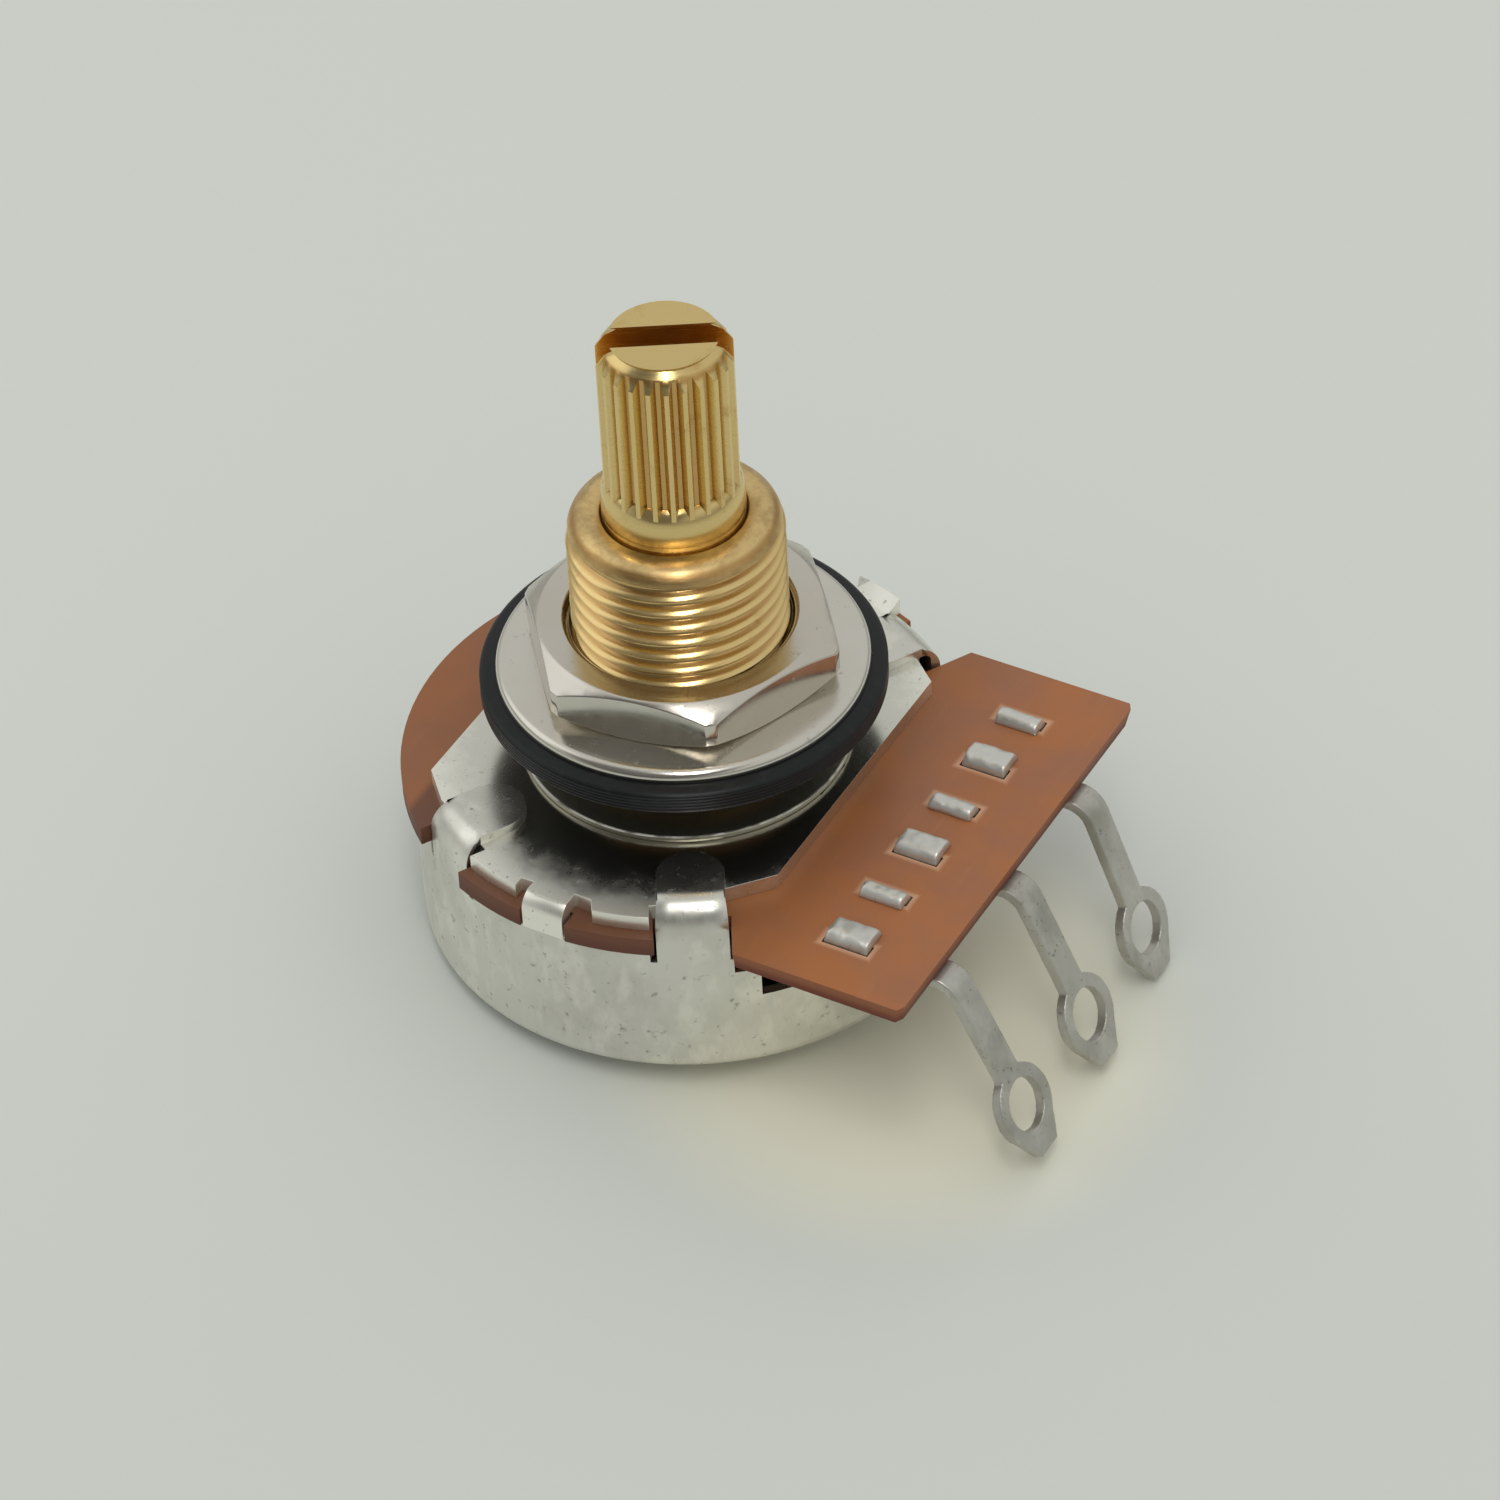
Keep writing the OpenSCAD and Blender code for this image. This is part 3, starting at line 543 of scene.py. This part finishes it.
blank = turned("blank", (
    (bore, plate_top - 0.5), (crest + 0.4, plate_top - 0.5), (crest + 0.4, thread_top),
    (bore, thread_top)))
bpy.ops.object.select_all(action="DESELECT")
thread.select_set(True)
bpy.context.view_layer.objects.active = thread
trim = thread.modifiers.new("trim", "BOOLEAN")
trim.operation, trim.object, trim.solver = "INTERSECT", blank, "EXACT"
bpy.ops.object.modifier_apply(modifier="trim")
bpy.data.objects.remove(blank)
placed(thread, "housing", bushing_brass, "bushing_brass", "bushing", smooth=50)
mouth = turned("bushing_mouth", (
    (bore, shoulder), (root + 0.1, shoulder), (crest - 0.12, shoulder + 0.22),
    (crest - 0.22, thread_top - 0.45), (crest - 0.46, thread_top - 0.2),
    (crest - 0.72, thread_top - 0.06), (crest - 0.92, thread_top), (bore + 0.2, thread_top),
    (bore + 0.1, thread_top - 0.05), (bore, thread_top - 0.25)))
placed(mouth, "housing", bushing_brass, "bushing_brass", "bushing")
neck = turned("bushing_neck", (
    (bore, neck_foot), (4.65, neck_foot), (4.9, neck_foot + 0.25), (4.9, plate_top - 0.75),
    (4.1, plate_top - 0.75), (4.1, plate_top), (bore, plate_top)))
placed(neck, "housing", bushing_brass, "bushing_brass", "bushing")


# The lock washer: thin plated sheet, flat on the front plate, painted dark on its face as
# painted shade under the black rubber washer, with a painted highlight along the top of its rim,
# broken up by the torn burr left there by the stamping.
def nickel(name, colour, roughness, rings=0.25):
    """Polished nickel with faint turning rings round the shaft's axis and small specks."""
    made = Finish(name, colour, roughness, 1.0)
    tree, reach = made.tree, made.reach()
    ring = make(tree, "ShaderNodeCombineXYZ", {}, {"X": reach, "Y": made.z * 0.2})
    turning = speckle(tree, ring, 0.16, 2.0).ramp(0.3, 0.7)
    spots = speckle(tree, made.place, 0.6, 3.0, 0.7).ramp(0.62, 0.76)
    film = speckle(tree, made.place, 6.0, 3.0).ramp(0.35, 0.7)
    tone = blend(tree, film * 0.35, colour, (0.62, 0.57, 0.47))
    made.set("Base Color", blend(tree, spots * 0.4, tone, (0.22, 0.19, 0.15)))
    made.set("Roughness", roughness + turning * 0.05 + spots * 0.2 + made.level() * 0.08)
    made.bump(turning, 0.004, rings)
    return made


washer_nickel = nickel("washer_nickel", (0.74, 0.715, 0.66), 0.12)
hole = crest + 0.1


def washer_size(node):
    """A washer's outer radius and its lowest and highest level, in mm."""
    low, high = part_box(node)
    return high.x / MM, low.z / MM, high.z / MM


def washer_edges(node, edge):
    """Corners of a washer's outline, with its outer edges rounded off."""
    r, z0, z1 = washer_size(node)
    return ((hole, z0), (r - edge, z0), (r - edge * 0.3, z0 + edge * 0.3), (r, z0 + edge),
            (r, z1 - edge), (r - edge * 0.3, z1 - edge * 0.3), (r - edge, z1), (hole, z1))


lock_nickel = nickel("lock_nickel", (0.66, 0.65, 0.60), 0.08)
tree = lock_nickel.tree
torn = speckle(tree, lock_nickel.place, 0.7, 3.0).ramp(0.35, 0.6)
# Painted highlight: a bright line painted along the rim's top edge, broken up by the torn burr.
painted_rim_glint = lock_nickel.reach().ramp(7.25 * MM, 7.29 * MM) * lock_nickel.z.ramp(9.27 * MM, 9.31 * MM)
painted_rim_glint = painted_rim_glint * (0.3 + torn * 0.7)
# Painted shade: the face is painted dark, as painted shade and painted reflection of the black
# rubber washer above it.
lock_nickel.set("Base Color", blend(tree, painted_rim_glint, (0.42, 0.40, 0.32), (0.80, 0.79, 0.73)))
lock_nickel.set("Metallic", 1 - painted_rim_glint * 0.6)
lock_nickel.set("Roughness", 0.35 + painted_rim_glint * 0.1)
lock_nickel.bump(torn, 0.02, 0.5)
lock = turned("lock_washer_ring", washer_edges("lock_washer", 0.06))
placed(lock, "housing", lock_nickel, "nickel_washer", "lock_washer")


# The rubber washer: a black moulded ring with fine grooves round its rim.
rubber = Finish("black_rubber", (0.008, 0.009, 0.010), 0.40, Specular_IOR_Level=0.25)
dust = speckle(rubber.tree, rubber.place, 0.5, 3.0).ramp(0.5, 0.8)
rubber.set("Base Color", blend(rubber.tree, dust * 0.3, (0.007, 0.008, 0.009),
                               (0.03, 0.03, 0.028)))
rubber.set("Roughness", 0.34 + dust * 0.2)
rubber.bump(dust, 0.01, 0.3)
r, z0, z1 = washer_size("rubber_washer")
first_groove, groove_pitch, groove_wide, groove_deep = z0 + 0.22, 0.17, 0.09, 0.05
grooves = []
for number in range(5):
    z = first_groove + number * groove_pitch
    grooves += [(r, z), (r - groove_deep, z + groove_wide / 2), (r, z + groove_wide)]
ring = turned("rubber_ring", [
    (hole, z0), (r - 0.3, z0), (r - 0.1, z0 + 0.06), (r - 0.02, z0 + 0.15), *grooves,
    (r - 0.06, z1 - 0.08), (r - 0.25, z1), (hole, z1)])
placed(ring, "washer_stack", rubber, "black_rubber", "rubber_washer")


# The dress washer and the nut: turned and milled brass with polished nickel plating.
r, z0, z1 = washer_size("dress_washer")
dress = turned("dress_washer_ring", (
    (hole, z0), (r - 0.1, z0), (r - 0.02, z0 + 0.05), (r, z0 + 0.12), (r - 0.02, z0 + 0.26),
    (r - 0.07, z0 + 0.38), (r - 0.16, z0 + 0.48), (r - 0.28, z1 - 0.02), (r - 0.4, z1),
    (hole, z1)))
placed(dress, "washer_stack", washer_nickel, "nickel_washer", "dress_washer")
nut_nickel = nickel("nut_nickel", (0.68, 0.65, 0.59), 0.13, 0.04)
broken_edges("hex_nut", "nut_body", "nut", 0.07, nut_nickel, smooth=25)


# The shaft: brass rod with rolled splines and a sawn split, darker brown towards the roots of
# the grooves, and painted amber on the split's walls as a painted reflection. The splines run
# out on the collar.
shaft_brass = brass("shaft_brass", (0.80, 0.61, 0.27), (0.50, 0.27, 0.07), roughness=0.20,
                    crest=2.85, root=2.70, deep=0.7, ringed=0.08, rim_z=40)
shaft_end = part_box("shaft")[1].z / MM
split, half_split, split_deep = math.radians(31), 0.675, 7.6
# Painted reflection: the walls of the split are painted amber, for light bounced between them.
across = shaft_brass.y * math.cos(split) - shaft_brass.x * math.sin(split)
painted_bounce_in_split = abs(across).ramp((half_split + 0.1) * MM, (half_split + 0.05) * MM)
painted_bounce_in_split = painted_bounce_in_split * (1 - shaft_brass.level())
split_foot = shaft_end - split_deep
painted_bounce_in_split = painted_bounce_in_split * shaft_brass.z.ramp(split_foot * MM, (split_foot + 0.4) * MM)
shaft_brass.set("Base Color", blend(shaft_brass.tree, painted_bounce_in_split, shaft_brass.plain_colour(),
                                    (0.95, 0.60, 0.17)))


def softer_shaft(at):
    """Widens the flat of the split end, so that the splines reach its edge, and lowers the
    collar's corner to make room for its rounded bead."""
    flat, wider, collar, lowered = 1.95, 2.38, shaft_end - 8.35, Vector((0, 0, 0.5))
    if abs(at.z - collar) < 0.03 and math.hypot(at.x, at.y) > 3.1:
        return at - lowered
    if at.z < shaft_end - 0.01:
        return at
    turn = Matrix.Rotation(split, 3, "Z")
    own = turn.inverted() @ at
    if abs(own.y) < half_split + 0.03:
        own.x = math.copysign(math.sqrt(wider ** 2 - own.y ** 2), own.x)
    else:
        own.x, own.y = own.x * wider / flat, own.y * wider / flat
    return turn @ own


broken_edges("shaft", "split_shaft", "shaft_group", 0.05, shaft_brass, smooth=30,
             shape=softer_shaft)
foot = shaft_end - 9.15
bead = turned("shaft_collar", (
    (2.5, foot), (3.08, foot), (3.125, foot + 0.1), (3.125, foot + 0.85), (3.10, foot + 1.10),
    (3.04, foot + 1.35), (2.94, foot + 1.58), (2.80, foot + 1.77), (2.62, foot + 1.90),
    (2.4, foot + 1.95)))
placed(bead, "shaft_group", shaft_brass, "shaft_brass", "shaft")


# Inside the can: steel washers and clips, a moulded rotor with its bronze wiper, and the
# printed track, ring and pads under the board. They keep their CAD solids.
steel = plated("inner_steel", (0.50, 0.50, 0.49), (0.30, 0.30, 0.28), roughness=0.35,
               grain=0.5, marks=0.05)
inner = (
    (steel, ("thrust_washer", "wave_washer", "retaining_ring", "stop_arm")),
    (Finish("rotor_resin", (0.055, 0.032, 0.022), 0.5), ("rotor",)),
    (Finish("wiper_bronze", (0.70, 0.42, 0.24), 0.28, 1.0), ("wiper",)),
    (Finish("rivet_brass", (0.78, 0.58, 0.28), 0.3, 1.0), ("wiper_rivet_1", "wiper_rivet_2")),
    (Finish("carbon_print", (0.02, 0.02, 0.02), 0.6), ("resistive_track",)),
    (Finish("silver_print", (0.6, 0.6, 0.58), 0.4, 1.0),
     ("collector_ring", "end_pad_1", "end_pad_2")),
)
for finish, members in inner:
    for member in members:
        solid = nodes[member]
        solid.data.materials.clear()
        solid.data.materials.append(finish.material)
